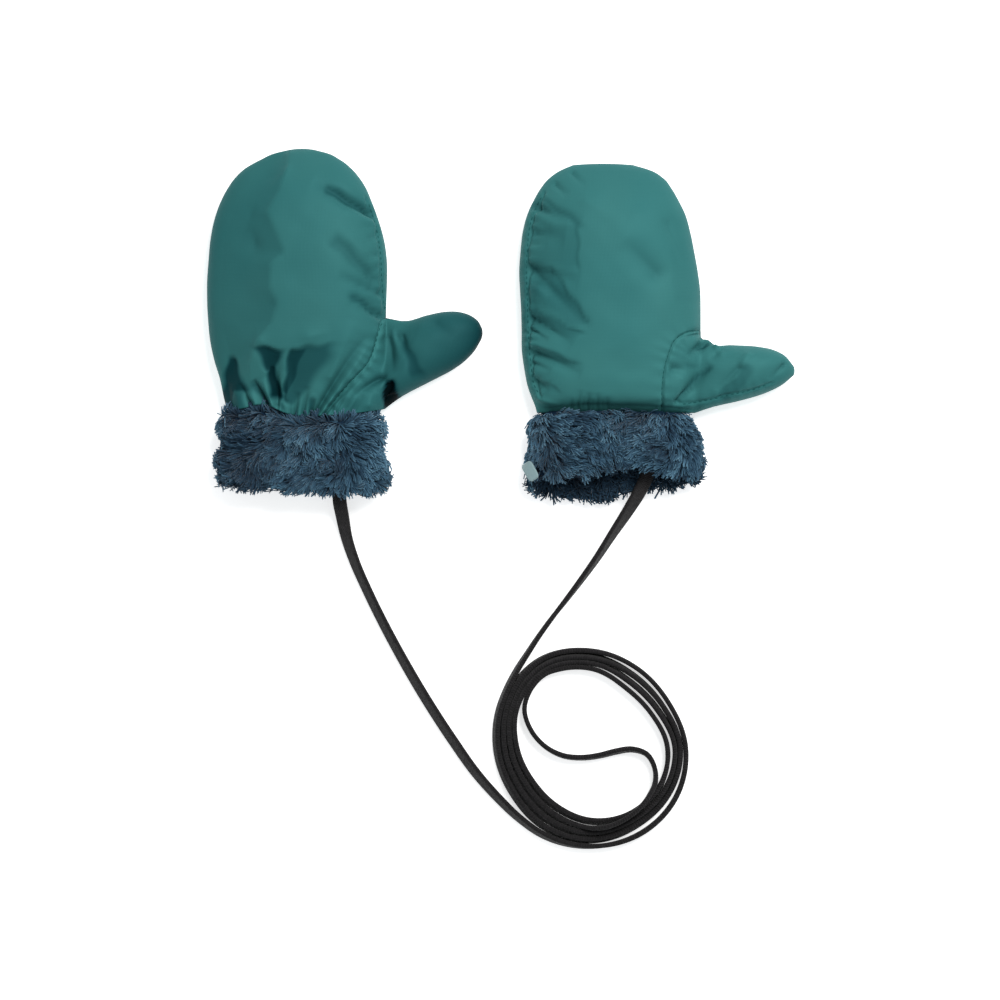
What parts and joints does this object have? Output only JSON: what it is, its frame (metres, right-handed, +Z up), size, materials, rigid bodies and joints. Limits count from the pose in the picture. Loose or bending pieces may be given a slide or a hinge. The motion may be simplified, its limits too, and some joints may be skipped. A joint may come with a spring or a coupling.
{
  "type": "pair of baby mittens on a string",
  "caption": "Padded baby mittens with gathered wrists and pile cuffs, laid flat, joined by a long webbing string wound into a coil.",
  "frame": {"origin": "on the surface the pair lies on, below the middle of the two mittens' outline, string left out", "axes": "+X from the left mitten to the right one, towards both thumbs; +Y towards the fingertips; +Z up from the surface"},
  "size_m": [0.27, 0.3219, 0.0287],
  "materials": {
    "shell": "satin taffeta",
    "pile": "deep curly pile",
    "webbing": "matt woven",
    "tab": "matt woven"
  },
  "bodies": {
    "root": {"left_back": "shell", "left_palm": "shell", "left_thumb_back": "shell", "left_thumb_palm": "shell", "right_back": "shell", "right_palm": "shell", "right_thumb_back": "shell", "right_thumb_palm": "shell", "left_cuff": "pile", "right_cuff": "pile", "right_label": "tab", "string_left": "webbing", "string_right": "webbing", "string_middle": "webbing", "string_coil": "webbing"}
  },
  "joints": []
}
